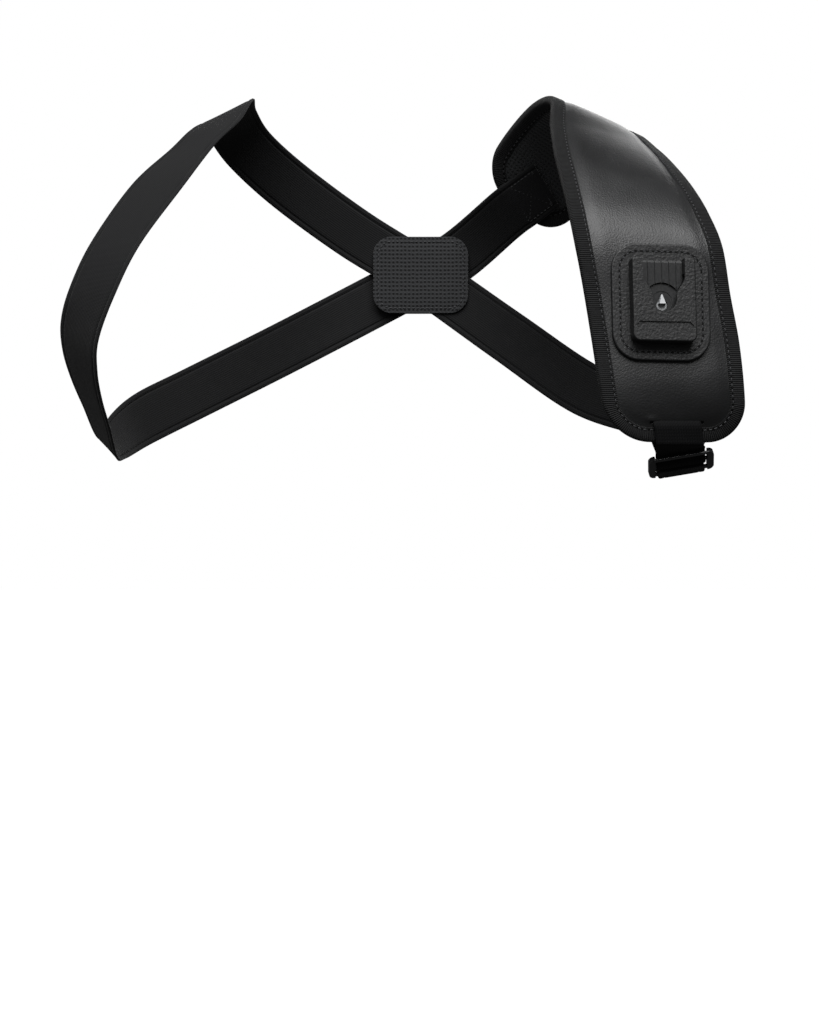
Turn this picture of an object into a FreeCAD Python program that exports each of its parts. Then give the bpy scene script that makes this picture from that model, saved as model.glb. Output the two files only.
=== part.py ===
import FreeCAD, Part
import math
import os

# Shoulder harness with a click-in device dock.
# Frame: X to the wearer's left, -Y to the front, +Z up. Millimetres.
# The origin is on the underside of the shoulder pad where it rests on the top of the shoulder.

Vec = FreeCAD.Vector
ORIGIN = Vec(124.5, 23.0, 201.5)   # resting point in the torso's own frame, which the tables use

# Pad
LEATHER = 1.8
FOAM = 3.2
LINING = 0.8
PAD_THICK = LEATHER + FOAM + LINING
LAYER_GAP = 0.05                   # glue line between the layers, and round them under the binding
PAD_CORNER_R = 25.0
BIND_DEPTH = 9.0                   # how far the binding tape reaches in from the edge
BIND_THICK = 0.6
PAD_CROWN = 0.0006                 # cupping over the shoulder, 1/mm
PAD_STEP = 13.0                    # spacing of the pad's cross sections

# Dock
FLANGE_W = 60.5
FLANGE_H = 71.5
FLANGE_R = 16.5
FLANGE_T = 2.2
BLOCK_W = 39.0
BLOCK_H = 51.0
BLOCK_TOP = 10.8                   # height of the dock face above the leather
FACE_PLATE = 2.4
FLOOR_N = 3.4                      # height of the seat floor above the leather
RIB_N = 4.8
RIB_PITCH = 4.35
SEAT_R = 7.5
MOUTH_HALF = 12.9
UNDERCUT = 2.6
STEP_R = 11.4
TURN_DEG = -0.8                    # turn of the dock on the pad, so it stands upright when worn
DOCK_S = 85.4                      # distance of the dock's centre from the pad's lower end
LATCH_Y = -2.3
LATCH_BORE_R = 3.5
LATCH_R = 3.1
TOOTH_TIP = 6.6                    # reach of the tooth's tip above the latch's centre

# Webbing, slider and elastic
WEB_W = 30.0
WEB_T = 1.3
SLIT_S = 12.0
SLIDER_W = 40.0
SLIDER_IN = 32.0
SLIDER_BAR = 6.5                   # distance of the outer bars from the middle bar
RAIL_T = 3.4
MID_BAR_R = 1.3
MID_BAR_N = -0.9
LOW_BAR_R = 1.4
ELASTIC_T = 1.6
END_W = 28.5

# Edges of the pad's leather face, lower front end to rear end: neck side, arm side
PAD_EDGES = [
    ((126.0, -91.0, 2.0), (209.0, -67.0, 2.0)),
    ((120.5, -94.5, 31.5), (207.0, -77.0, 32.0)),
    ((116.0, -91.5, 61.5), (204.0, -75.5, 62.0)),
    ((111.5, -88.0, 90.5), (199.0, -72.0, 91.0)),
    ((106.5, -84.5, 119.0), (194.5, -68.5, 120.5)),
    ((103.0, -76.0, 140.5), (187.5, -55.0, 142.0)),
    ((99.5, -60.0, 161.0), (180.5, -34.0, 159.0)),
    ((96.0, -38.0, 183.0), (172.0, -7.0, 175.0)),
    ((95.0, -13.0, 203.0), (163.0, 22.0, 189.0)),
    ((96.0, 16.0, 221.5), (152.0, 55.0, 201.5)),
    ((84.5, 44.0, 221.0), (139.0, 80.0, 196.5)),
    ((68.0, 66.0, 204.0), (120.5, 97.0, 169.5)),
    ((51.0, 84.0, 178.0), (104.0, 109.0, 139.0)),
]

# Edges of the elastic's outer face: neck side, arm side. One run goes from the top of the right
# shoulder down the front, under the right arm and up across the back to the pad's rear end. The
# other goes from the right shoulder down across the back and under the left arm.
RISING = [
    ((-92.3, 8.0, 219.3), (-125.5, 8.0, 202.4)),
    ((-99.0, -20.0, 203.0), (-132.0, -12.0, 196.0)),
    ((-113.5, -38.0, 186.0), (-142.5, -22.0, 184.0)),
    ((-131.6, -60.0, 158.2), (-164.6, -40.0, 160.7)),
    ((-156.2, -78.0, 121.6), (-188.0, -57.0, 124.0)),
    ((-170.6, -84.0, 91.7), (-201.0, -60.0, 95.5)),
    ((-181.6, -79.0, 63.3), (-206.9, -53.0, 75.6)),
    ((-183.3, -70.0, 44.4), (-206.8, -43.0, 59.0)),
    ((-181.8, -54.0, 26.9), (-203.4, -28.0, 43.1)),
    ((-178.7, -34.0, 10.3), (-198.1, -7.0, 26.6)),
    ((-176.5, -6.0, -7.0), (-190.5, 18.0, 6.5)),
    ((-174.0, 28.0, -6.5), (-185.5, 42.0, 21.0)),
    ((-160.0, 64.0, 4.0), (-171.0, 64.0, 36.0)),
    ((-125.0, 90.0, 23.0), (-141.0, 90.0, 53.0)),
    ((-67.0, 104.0, 53.0), (-83.0, 104.0, 83.0)),
    ((3.0, 112.0, 90.0), (-13.0, 112.0, 120.0)),
    ((44.0, 111.8, 112.0), (26.0, 112.0, 141.0)),
]
FALLING = [
    ((-92.0, 40.5, 216.0), (-123.5, 38.5, 200.0)),
    ((-84.0, 68.0, 204.0), (-111.0, 65.0, 183.0)),
    ((-60.5, 91.5, 184.5), (-83.5, 89.5, 159.0)),
    ((-21.0, 105.5, 156.5), (-41.0, 105.5, 129.0)),
    ((23.0, 109.5, 129.0), (3.0, 109.5, 102.0)),
    ((80.0, 104.5, 89.0), (60.0, 104.5, 61.0)),
    ((129.5, 89.5, 54.5), (111.5, 89.5, 24.5)),
    ((165.0, 59.0, 40.5), (154.0, 61.0, 8.5)),
    ((188.5, 22.5, 29.5), (177.5, 22.5, -2.5)),
    ((196.0, -9.5, 14.0), (175.5, -11.5, -11.0)),
]

# Spans of the elastic, by their first and last row of the whole chain from the pad's rear end
SPANS = {
    "elastic_back_rising": (0, 6),
    "elastic_right_arm": (6, 9),
    "elastic_right_front": (9, 19),
    "elastic_right_shoulder": (19, 22),
    "elastic_back_falling": (22, 26),
    "elastic_left_arm": (26, 29),
}

# Leather patches where the back straps cross: upper and lower edge of each outer face
OUTER_PATCH = [
    ((-18.0, 113.0, 140.5), (-18.0, 113.0, 90.5)),
    ((2.0, 114.8, 140.5), (2.0, 114.8, 90.5)),
    ((24.0, 114.4, 140.5), (24.0, 114.4, 90.5)),
    ((44.0, 114.1, 140.5), (44.0, 114.1, 90.5)),
]
INNER_PATCH = [
    ((-18.0, 103.8, 140.5), (-18.0, 103.8, 90.5)),
    ((2.0, 105.4, 140.5), (2.0, 105.4, 90.5)),
    ((24.0, 105.6, 140.5), (24.0, 105.6, 90.5)),
    ((44.0, 104.1, 140.5), (44.0, 104.1, 90.5)),
]

# Slider frame: along the bars, down the webbing, outward
SLIDER_AT = Vec(169.9, -63.6, -10.3)
BAR_DIR = Vec(0.985, 0.07, 0.165)
DOWN_DIR = Vec(0.056, 0.753, -0.656)
ELASTIC_DIR = Vec(0.20, 0.90, 0.38)


def unit(v):
    return v * (1.0 / v.Length)


def blend_points(p, f):
    """Smooth curve between the middle two of four points."""
    a = (p[1] * 2.0)
    b = (p[2] - p[0]) * f
    c = (p[0] * 2.0 - p[1] * 5.0 + p[2] * 4.0 - p[3]) * (f * f)
    d = (p[1] * 3.0 - p[0] - p[2] * 3.0 + p[3]) * (f * f * f)
    return (a + b + c + d) * 0.5


class Strip:
    """A band of soft material given by the two edges of its outer face."""

    def __init__(self, edges, crown=0.0):
        self.left = [Vec(*e[0]) for e in edges]
        self.right = [Vec(*e[1]) for e in edges]
        self.crown = crown
        self.marks = [0.0]
        last = self.middle(0.0)
        self.fine = 20
        for i in range(1, (len(edges) - 1) * self.fine + 1):
            here = self.middle(i / self.fine)
            self.marks.append(self.marks[-1] + (here - last).Length)
            last = here
        self.length = self.marks[-1]

    def edge(self, pts, t):
        n = len(pts)
        i = min(max(int(t), 0), n - 2)
        before = pts[i - 1] if i > 0 else pts[0] * 2.0 - pts[1]
        after = pts[i + 2] if i + 2 < n else pts[-1] * 2.0 - pts[-2]
        return blend_points([before, pts[i], pts[i + 1], after], t - i)

    def middle(self, t):
        return (self.edge(self.left, t) + self.edge(self.right, t)) * 0.5

    def t_at(self, s):
        if s <= 0.0:
            return 0.0
        for i in range(1, len(self.marks)):
            if s <= self.marks[i]:
                f = (s - self.marks[i - 1]) / (self.marks[i] - self.marks[i - 1])
                return (i - 1 + f) / self.fine
        return float(len(self.left) - 1)

    def frame(self, s):
        """Centre, across, along, outward and half width at a distance from the start."""
        t = self.t_at(s)
        top = len(self.left) - 1
        lo = max(t - 0.02, 0.0)
        hi = min(t + 0.02, float(top))
        along = unit(self.middle(hi) - self.middle(lo))
        left = self.edge(self.left, t)
        right = self.edge(self.right, t)
        across = unit(right - left)
        out = unit(across.cross(along))
        over = min(s, 0.0) + max(s - self.length, 0.0)
        centre = (left + right) * 0.5 + along * over
        return centre, across, along, out, (right - left).Length * 0.5

    def cup(self, s):
        """Cupping grows from nothing at the dock to its full value over the shoulder."""
        f = min(max((s - 150.0) / 45.0, 0.0), 1.0)
        return self.crown * f * f * (3.0 - 2.0 * f)

    def point(self, s, u, n):
        centre, across, along, out, half = self.frame(s)
        return centre + across * u + out * (n + self.cup(s) * (half * half - u * u))

    def section(self, s, inset, n_low, n_high):
        half = self.frame(s)[4] - inset
        low = [self.point(s, u * half, n_low) for u in (-1.0, -0.5, 0.0, 0.5, 1.0)]
        high = [self.point(s, u * half, n_high) for u in (1.0, 0.5, 0.0, -0.5, -1.0)]
        edges = [curve(low), Part.makeLine(low[-1], high[0])]
        edges += [curve(high), Part.makeLine(high[-1], low[0])]
        return Part.Wire(edges)

    def layer(self, inset, n_low, n_high, s_start, s_end, step):
        count = max(int(round((s_end - s_start) / step)), 2)
        stops = [s_start + (s_end - s_start) * i / count for i in range(count + 1)]
        wires = [self.section(s, inset, n_low, n_high) for s in stops]
        return Part.makeLoft(wires, True, False)


def curve(points):
    spline = Part.BSplineCurve()
    spline.interpolate(points)
    return spline.toShape()


def even_stations(stations, step):
    """The same band with its stations evenly spaced along a smooth curve."""
    fine = []
    for i in range(len(stations) - 1):
        ring = [stations[max(i - 1, 0)], stations[i], stations[i + 1],
                stations[min(i + 2, len(stations) - 1)]]
        for j in range(10):
            fine.append([blend_points([r[k] for r in ring], j / 10.0) for k in range(3)])
    fine.append(list(stations[-1]))
    total = sum((fine[i + 1][0] - fine[i][0]).Length for i in range(len(fine) - 1))
    pitch = total / max(round(total / step), 3)
    kept = [fine[0]]
    run = 0.0
    for i in range(1, len(fine) - 1):
        run += (fine[i][0] - fine[i - 1][0]).Length
        if run >= pitch * len(kept) and total - run > pitch * 0.6:
            kept.append(fine[i])
    return kept + [fine[-1]]


def band(stations, width, thick, step):
    """Loft of rectangles; each station is a centre, an across and an outward direction."""
    wires = []
    for centre, across, out in even_stations(stations, step):
        a = unit(across)
        o = unit(out - a * out.dot(a))
        w = a * (width * 0.5)
        h = o * (thick * 0.5)
        pts = [centre - w - h, centre + w - h, centre + w + h, centre - w + h]
        wires.append(Part.makePolygon(pts + [pts[0]]))
    return Part.makeLoft(wires, True, True)


def place(shape, at, x, y):
    """Move a shape from its own axes onto an origin and two directions."""
    x = unit(x)
    z = unit(x.cross(y))
    y = z.cross(x)
    m = FreeCAD.Matrix(x.x, y.x, z.x, at.x,
                       x.y, y.y, z.y, at.y,
                       x.z, y.z, z.z, at.z,
                       0, 0, 0, 1)
    return shape.transformed(m, True)


def box(x0, x1, y0, y1, z0, z1):
    return Part.makeBox(x1 - x0, y1 - y0, z1 - z0, Vec(x0, y0, z0))


def cylinder(r, x, y, z0, z1):
    return Part.makeCylinder(r, z1 - z0, Vec(x, y, z0))


def rounded_plate(w, h, r, z0, z1):
    plate = box(-w / 2, w / 2, -h / 2, h / 2, z0, z1)
    return plate.makeFillet(r, upright_edges(plate))


def upright_edges(shape):
    return [e for e in shape.Edges if abs(e.tangentAt(e.FirstParameter).z) > 0.99]


def corner_cut(strip, s, inward, sign, inset, radius):
    """The waste outside one rounded corner at an end of a strip."""
    centre, across, along, out, half = strip.frame(s)
    x = across * sign
    y = along * -inward
    corner = centre + x * (half - inset)
    inner = strip.frame(s + inward * radius)
    side = inner[0] + inner[1] * (sign * (inner[4] - inset)) - corner
    side = unit(Vec(side.dot(x), side.dot(y), 0.0))
    reach = radius / math.tan(0.5 * math.acos(-side.x))
    off = Vec(-side.y, side.x, 0.0)
    depth = Vec(0, 0, -16.0)
    pts = [Vec(-reach, 0, 0), Vec(-reach, 14, 0), Vec(14, 14, 0), side * reach + off * 14.0,
           side * reach, Vec(-reach, -radius, 0)]
    pts = [p + depth for p in pts]
    waste = Part.Face(Part.makePolygon(pts + [pts[0]])).extrude(Vec(0, 0, 32.0))
    waste = waste.cut(cylinder(radius, -reach, -radius, -17.0, 17.0))
    return place(waste, corner, x, y)


def trim_corners(shape, strip, s_start, s_end, inset, radius):
    for s, inward in ((s_start, 1.0), (s_end, -1.0)):
        for sign in (-1.0, 1.0):
            shape = shape.cut(corner_cut(strip, s, inward, sign, inset, radius))
    return shape


# Pad layers
pad = Strip(PAD_EDGES, PAD_CROWN)


def pad_layer(inset, n_low, n_high, ends, radius):
    body = pad.layer(inset, n_low, n_high, ends, pad.length - ends, PAD_STEP)
    return trim_corners(body, pad, ends, pad.length - ends, inset, radius)


leather = pad_layer(0.0, -LEATHER, 0.0, 0.0, PAD_CORNER_R)
foam = pad_layer(0.0, -LEATHER - FOAM, -LEATHER - LAYER_GAP, 0.0, PAD_CORNER_R)
lining = pad_layer(0.0, -PAD_THICK, -LEATHER - FOAM - LAYER_GAP, 0.0, PAD_CORNER_R)
core = pad_layer(-LAYER_GAP, -PAD_THICK - LAYER_GAP, LAYER_GAP, -LAYER_GAP,
                 PAD_CORNER_R + LAYER_GAP)
hull = pad_layer(-BIND_THICK, -PAD_THICK - BIND_THICK, BIND_THICK, -BIND_THICK,
                 PAD_CORNER_R + BIND_THICK)
window = pad_layer(BIND_DEPTH, -PAD_THICK - 3.0, 3.0, BIND_DEPTH, PAD_CORNER_R - BIND_DEPTH)
binding = hull.cut(core).cut(window)

# Dock frame on the pad
dock_at, dock_across, dock_along, dock_out, dock_half = pad.frame(DOCK_S)
level = unit(Vec(dock_across.x, dock_across.y, 0.0))
level = unit(level - dock_out * level.dot(dock_out))
upright = unit(dock_out.cross(level))
turn = math.radians(TURN_DEG)
dock_x = level * math.cos(turn) + upright * math.sin(turn)
dock_y = upright * math.cos(turn) - level * math.sin(turn)


def on_dock(shape):
    return place(shape, dock_at, dock_x, dock_y)


def slot_prism(offset, y_top, z0, z1):
    """The U opening of the dock grown by an offset: straight mouth, funnel, round seat."""
    side = [Vec(MOUTH_HALF + offset, 14.5, z0), Vec(11.9 + offset, 10.6, z0),
            Vec(9.4 + offset, 7.1, z0), Vec(7.9 + offset, 3.8, z0),
            Vec(SEAT_R + offset, 0.0, z0)]
    right = Part.BSplineCurve()
    right.interpolate(side, InitialTangent=Vec(0, -1, 0), FinalTangent=Vec(0, -1, 0))
    left = Part.BSplineCurve()
    mirrored = [Vec(-p.x, p.y, p.z) for p in reversed(side)]
    left.interpolate(mirrored, InitialTangent=Vec(0, 1, 0), FinalTangent=Vec(0, 1, 0))
    seat = Part.Arc(side[-1], Vec(0, -SEAT_R - offset, z0), mirrored[0])
    top_right = Vec(MOUTH_HALF + offset, y_top, z0)
    top_left = Vec(-MOUTH_HALF - offset, y_top, z0)
    wire = Part.Wire([Part.makeLine(top_right, side[0]), right.toShape(), seat.toShape(),
                      left.toShape(), Part.makeLine(mirrored[-1], top_left),
                      Part.makeLine(top_left, top_right)])
    return Part.Face(wire).extrude(Vec(0, 0, z1 - z0))


def tooth_way(z0, z1):
    """Room for the latch tooth to sink into, round its outline."""
    y0 = LATCH_Y + 0.3
    y1 = LATCH_Y + TOOTH_TIP + 0.3
    pts = [Vec(-2.9, y0, z0), Vec(2.9, y0, z0), Vec(0.65, y1, z0), Vec(-0.65, y1, z0)]
    return Part.Face(Part.makePolygon(pts + [pts[0]])).extrude(Vec(0, 0, z1 - z0))


def dock_housing():
    flange = rounded_plate(FLANGE_W, FLANGE_H, FLANGE_R, 0.0, FLANGE_T)
    rim = [e for e in flange.Edges if e.BoundBox.ZMin > FLANGE_T - 0.01]
    flange = flange.makeFillet(1.0, rim)
    groove = rounded_plate(FLANGE_W - 8.6, FLANGE_H - 8.6, FLANGE_R - 4.3, 1.8, 3.0)
    groove = groove.cut(rounded_plate(FLANGE_W - 11.0, FLANGE_H - 11.0, FLANGE_R - 5.5, 1.0, 4.0))
    flange = flange.cut(groove)

    block = box(-BLOCK_W / 2, BLOCK_W / 2, -BLOCK_H / 2, BLOCK_H / 2, FLANGE_T - 0.4, BLOCK_TOP)
    low = [e for e in upright_edges(block) if e.BoundBox.YMax < 0]
    block = block.makeFillet(4.2, low)
    high = [e for e in upright_edges(block) if e.BoundBox.YMin > BLOCK_H / 2 - 0.1]
    block = block.makeFillet(1.8, high)
    face = [e for e in block.Edges if e.BoundBox.ZMin > BLOCK_TOP - 0.01]
    block = block.makeFillet(0.9, face)
    boss = cylinder(7.8, 0.0, LATCH_Y, -4.6, 0.2)
    body = flange.fuse(block).fuse(boss)

    body = body.cut(slot_prism(0.0, BLOCK_H / 2 + 1.0, FLANGE_T, BLOCK_TOP + 1.0))
    body = body.cut(slot_prism(UNDERCUT, 16.4, FLANGE_T, BLOCK_TOP - FACE_PLATE))
    low = BLOCK_TOP - 0.8
    outline = [(-17.7, -16.1), (-15.5, -13.6), (15.5, -13.6), (17.7, -16.1), (15.5, -19.8),
               (-15.5, -19.8), (-17.7, -16.1)]
    recess = Part.makePolygon([Vec(x, y, low) for x, y in outline])
    body = body.cut(Part.Face(recess).extrude(Vec(0, 0, 2.0)))
    body = body.cut(cylinder(4.6, 0.0, LATCH_Y, -3.0, FLANGE_T + 0.5))
    body = body.cut(tooth_way(0.9, FLANGE_T + 0.5))
    return body.cut(cylinder(6.0, 0.0, LATCH_Y, -4.7, -3.0))


def guide_plate():
    gap = 0.15
    plate = slot_prism(UNDERCUT - gap, 16.4 - gap, FLANGE_T, FLOOR_N)
    plate = plate.fuse(slot_prism(-gap, BLOCK_H / 2 - 0.6, FLANGE_T, FLOOR_N))
    ramp = slot_prism(-gap, BLOCK_H / 2 - 0.6, FLOOR_N - 0.2, RIB_N)
    ramp = ramp.cut(cylinder(STEP_R, 0.0, 0.0, 0.0, 10.0))
    ramp = ramp.cut(box(-20.0, 20.0, -12.0, 5.0, 0.0, 10.0))
    for i in range(-2, 3):
        x = i * RIB_PITCH
        ramp = ramp.cut(box(x - 0.3, x + 0.3, 0.0, 40.0, RIB_N - 0.7, RIB_N + 1.0))
    tilt = box(-20.0, 20.0, 0.0, 8.0, 0.0, 4.0)
    tilt.rotate(Vec(0, 0, 0), Vec(1, 0, 0), -32.0)
    tilt.translate(Vec(0, BLOCK_H / 2 - 2.0, RIB_N))
    ramp = ramp.cut(tilt)
    ring = cylinder(7.0, 0.0, 0.0, FLOOR_N - 0.2, FLOOR_N + 0.35)
    ring = ring.cut(cylinder(6.3, 0.0, 0.0, 0.0, 10.0))
    plate = plate.fuse(ramp).fuse(ring)
    plate = plate.cut(tooth_way(0.0, FLOOR_N + 1.0))
    return plate.cut(cylinder(LATCH_BORE_R, 0.0, LATCH_Y, 0.0, 10.0))


def trapezium(y, half_low, half_high, z_low, z_high):
    pts = [Vec(-half_low, y, z_low), Vec(half_low, y, z_low), Vec(half_high, y, z_high),
           Vec(-half_high, y, z_high)]
    return Part.makePolygon(pts + [pts[0]])


def latch_tooth():
    stem = cylinder(LATCH_R, 0.0, LATCH_Y, 1.4, FLOOR_N - 0.7)
    collar = cylinder(4.2, 0.0, LATCH_Y, 0.4, 1.8)
    base = trapezium(LATCH_Y + 0.6, 2.6, 1.9, FLOOR_N - 1.0, FLOOR_N + 2.6)
    tip = trapezium(LATCH_Y + TOOTH_TIP, 0.35, 0.3, FLOOR_N + 0.45, FLOOR_N + 0.75)
    return stem.fuse(collar).fuse(Part.makeLoft([base, tip], True, True))


def latch_spring():
    wire_r = 0.3
    helix = Part.makeHelix(1.2, 2.8, 3.4)
    start = Vec(3.4, 0, 0)
    profile = Part.Wire([Part.makeCircle(wire_r, start, Vec(0, 1, 0))])
    coil = Part.Wire(helix.Edges).makePipeShell([profile], True, True)
    coil.translate(Vec(0, LATCH_Y, -2.72))
    return coil


def latch_cap():
    return cylinder(5.9, 0.0, LATCH_Y, -4.5, -3.05)


# Slider frame
bar = unit(BAR_DIR)
down = unit(DOWN_DIR - bar * DOWN_DIR.dot(bar))
face = unit(down.cross(bar))


def on_slider(shape):
    """The shape's own axes are along the bars, up the webbing and outward."""
    return place(shape, SLIDER_AT, bar, down * -1.0)


def slider_point(d, n):
    return SLIDER_AT + down * d + face * n


def slider_shape():
    top = SLIDER_BAR + 1.4
    frame = rounded_plate(SLIDER_W, 2.0 * top, 3.4, -RAIL_T / 2, RAIL_T / 2)
    frame = frame.cut(box(-SLIDER_IN / 2, SLIDER_IN / 2, -top + 0.2, top - 0.2, -9.0, 9.0))
    end = SLIDER_IN / 2 + 1.0
    upper = box(-end, end, SLIDER_BAR - 0.6, SLIDER_BAR + 1.8, 0.4, 2.1)
    upper = upper.makeFillet(0.7, [e for e in upper.Edges if e.BoundBox.XLength > 5.0])
    strut = Part.makeCylinder(MID_BAR_R, 2.0 * end, Vec(-end, 0, MID_BAR_N), Vec(1, 0, 0))
    lower = Part.makeCylinder(LOW_BAR_R, 2.0 * end, Vec(-end, -SLIDER_BAR, 0), Vec(1, 0, 0))
    rails = frame.cut(box(-SLIDER_IN / 2, SLIDER_IN / 2, -20.0, 20.0, -9.0, 9.0))
    return rails.fuse(upper).fuse(strut).fuse(lower)


def web_bend():
    inner = MID_BAR_R + 0.35
    outer = inner + WEB_T
    half = WEB_W / 2
    tube = Part.makeCylinder(outer, WEB_W, Vec(-half, 0, MID_BAR_N), Vec(1, 0, 0))
    tube = tube.fuse(box(-half, half, 0.0, 1.6, MID_BAR_N - outer, MID_BAR_N + outer))
    tube = tube.cut(Part.makeCylinder(inner, WEB_W + 2, Vec(-half - 1, 0, MID_BAR_N), Vec(1, 0, 0)))
    tube = tube.cut(box(-half - 1, half + 1, 0.0, 9.0, MID_BAR_N - inner, MID_BAR_N + inner))
    return tube.cut(box(-half - 1, half + 1, 1.6, 9.0, -9.0, 9.0))


# Webbing from the slit to the bend, and from the bend up behind the pad
def pad_station(s, n):
    centre, across, along, out, half = pad.frame(s)
    return centre + out * n, across, out


def slider_station(d, n):
    return slider_point(d, n), bar, face


mid_n = MID_BAR_R + 0.35 + WEB_T / 2
front_path = [
    pad_station(SLIT_S + 20.0, -LEATHER - 0.9),
    pad_station(SLIT_S + 6.0, -LEATHER - 0.8),
    pad_station(SLIT_S + 2.2, -1.3),
    pad_station(SLIT_S - 0.6, 0.75),
    pad_station(9.2, 1.55),
    pad_station(6.0, 1.6),
    pad_station(1.0, 1.6),
    pad_station(-1.0, 1.4),
    pad_station(-2.2, -0.1),
    slider_station(-10.5, -0.3),
    slider_station(-6.5, -0.75),
    slider_station(-4.0, 0.1),
    slider_station(-1.65, MID_BAR_N + mid_n),
]
web_front = band(front_path, WEB_W, WEB_T, 2.0)
web_back = band([
    slider_station(-1.65, MID_BAR_N - mid_n),
    slider_station(-6.5, -3.2),
    slider_station(-9.5, -4.2),
    pad_station(0.0, -PAD_THICK - 2.0),
    pad_station(6.0, -PAD_THICK - 1.7),
    pad_station(14.0, -PAD_THICK - 1.1),
    pad_station(26.0, -PAD_THICK - WEB_T / 2 - 0.2),
    pad_station(44.0, -PAD_THICK - WEB_T / 2 - 0.2),
], WEB_W, WEB_T, 2.0)

# Openings in the pad: the dock's bed and rear boss, and the slanting slit the webbing runs in
boss_hole = on_dock(cylinder(8.0, 0.0, LATCH_Y, -LEATHER - FOAM, 1.0))
dock_bed = on_dock(rounded_plate(FLANGE_W + 0.2, FLANGE_H + 0.2, FLANGE_R + 0.1, -LAYER_GAP, 4.0))
slit = band(front_path[:7], WEB_W + 0.8, WEB_T + 0.5, 2.0)
slit_at, slit_across, slit_along, slit_out, slit_half = pad.frame(SLIT_S + 20.0)
slit_end = place(box(-WEB_W / 2 - 0.4, WEB_W / 2 + 0.4, -2.0, 1.0, -LEATHER - 2.0, -LEATHER + 0.2),
                 slit_at, slit_across, slit_along)
leather = leather.cut(boss_hole).cut(dock_bed).cut(slit).cut(slit_end)
foam = foam.cut(boss_hole).cut(slit).cut(slit_end)
binding = binding.cut(band(front_path, WEB_W + 0.4, WEB_T + 0.2, 2.0))

# Elastic end folded round the slider's lower bar
fold_at = slider_point(SLIDER_BAR, 0.0)
elastic_dir = unit(ELASTIC_DIR - bar * ELASTIC_DIR.dot(bar))


def elastic_end():
    outer = LOW_BAR_R + 0.05 + ELASTIC_T
    half = END_W / 2
    fold = Part.makeCylinder(outer, END_W, Vec(-half, 0, 0), Vec(1, 0, 0))
    pts = [Vec(-half, 0.0, outer), Vec(-half, 9.0, ELASTIC_T), Vec(-half, 22.0, ELASTIC_T),
           Vec(-half, 22.0, 0.0), Vec(-half, 17.0, 0.0), Vec(-half, 17.0, -ELASTIC_T),
           Vec(-half, 9.0, -ELASTIC_T), Vec(-half, 0.0, -outer)]
    tail = Part.Face(Part.makePolygon(pts + [pts[0]])).extrude(Vec(END_W, 0, 0))
    eye = [Vec(-half - 1, 0.0, LOW_BAR_R), Vec(-half - 1, 7.5, 0.0), Vec(-half - 1, 0.0, -LOW_BAR_R)]
    hole = Part.Face(Part.makePolygon(eye + [eye[0]])).extrude(Vec(END_W + 2, 0, 0))
    shape = fold.fuse(tail).cut(hole)
    return shape.cut(Part.makeCylinder(LOW_BAR_R + 0.02, END_W + 2, Vec(-half - 1, 0, 0), Vec(1, 0, 0)))


end_x = bar * -1.0
end_piece = place(elastic_end(), fold_at, end_x, elastic_dir)
end_out = unit(end_x.cross(elastic_dir))


def tucked(q):
    """Edges of the rising strap where it lies under the pad's rear end, sewn at an angle."""
    lean = math.radians(22.0)
    u = -4.0 + q * math.sin(lean)
    s = pad.length - 2.0 - q * math.cos(lean)
    du = 17.0 * math.cos(lean)
    ds = 17.0 * math.sin(lean)
    n = -PAD_THICK - BIND_THICK - 0.5
    neck = pad.point(s + ds, u + du, n)
    arm = pad.point(s - ds, u - du, n)
    return (neck.x, neck.y, neck.z), (arm.x, arm.y, arm.z)


# The whole elastic from the pad's rear end to the left arm, its outer face outward
chain = [(arm, neck) for neck, arm in reversed(RISING + [tucked(-10.0), tucked(6.0), tucked(26.0)])]
chain += [(arm, neck) for neck, arm in FALLING]
strap = Strip(chain)


def span(first, last):
    start = strap.marks[first * strap.fine]
    end = strap.marks[last * strap.fine]
    return strap.layer(0.0, -ELASTIC_T, 0.0, start, end, 14.0)


def strap_lead():
    """The elastic between its sewn end and the run under the left arm."""
    stations = [(fold_at + elastic_dir * 22.0 + end_out * ELASTIC_T / 2, bar, end_out)]
    centre, across, along, out, half = strap.frame(strap.length)
    first = stations[0][0]
    last = centre - out * (ELASTIC_T / 2)
    reach = (last - first).Length
    for f in (0.33, 0.67):
        a = first + elastic_dir * (reach * f)
        b = last + along * (reach * (1.0 - f))
        stations.append((a * (1.0 - f) + b * f, bar * (1.0 - f) + across * f,
                         end_out * (1.0 - f) + out * f))
    stations.append((last, across, out))
    return band(stations, END_W, ELASTIC_T, 5.0)


def cross_patch(edges, thick):
    strip = Strip(edges)
    plate = strip.layer(0.0, -thick, 0.0, 0.0, strip.length, 14.0)
    return trim_corners(plate, strip, 0.0, strip.length, 0.0, 12.0)


shapes = {
    "pad_leather": leather,
    "pad_foam": foam,
    "pad_lining": lining,
    "pad_binding": binding,
    "dock_housing": on_dock(dock_housing()),
    "dock_guide_plate": on_dock(guide_plate()),
    "latch_tooth": on_dock(latch_tooth()),
    "latch_spring": on_dock(latch_spring()),
    "latch_cap": on_dock(latch_cap()),
    "webbing_front": web_front,
    "webbing_bend": on_slider(web_bend()),
    "webbing_back": web_back,
    "slider": on_slider(slider_shape()),
    "elastic_end": end_piece,
    "elastic_lead": strap_lead(),
    "cross_patch_outer": cross_patch(OUTER_PATCH, 1.6),
    "cross_patch_inner": cross_patch(INNER_PATCH, 1.4),
}
for name, rows in SPANS.items():
    shapes[name] = span(*rows)

os.makedirs("parts", exist_ok=True)
for name, shape in shapes.items():
    moved = shape.copy()
    moved.translate(ORIGIN * -1.0)
    moved.exportStep("parts/" + name + ".step")
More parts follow.
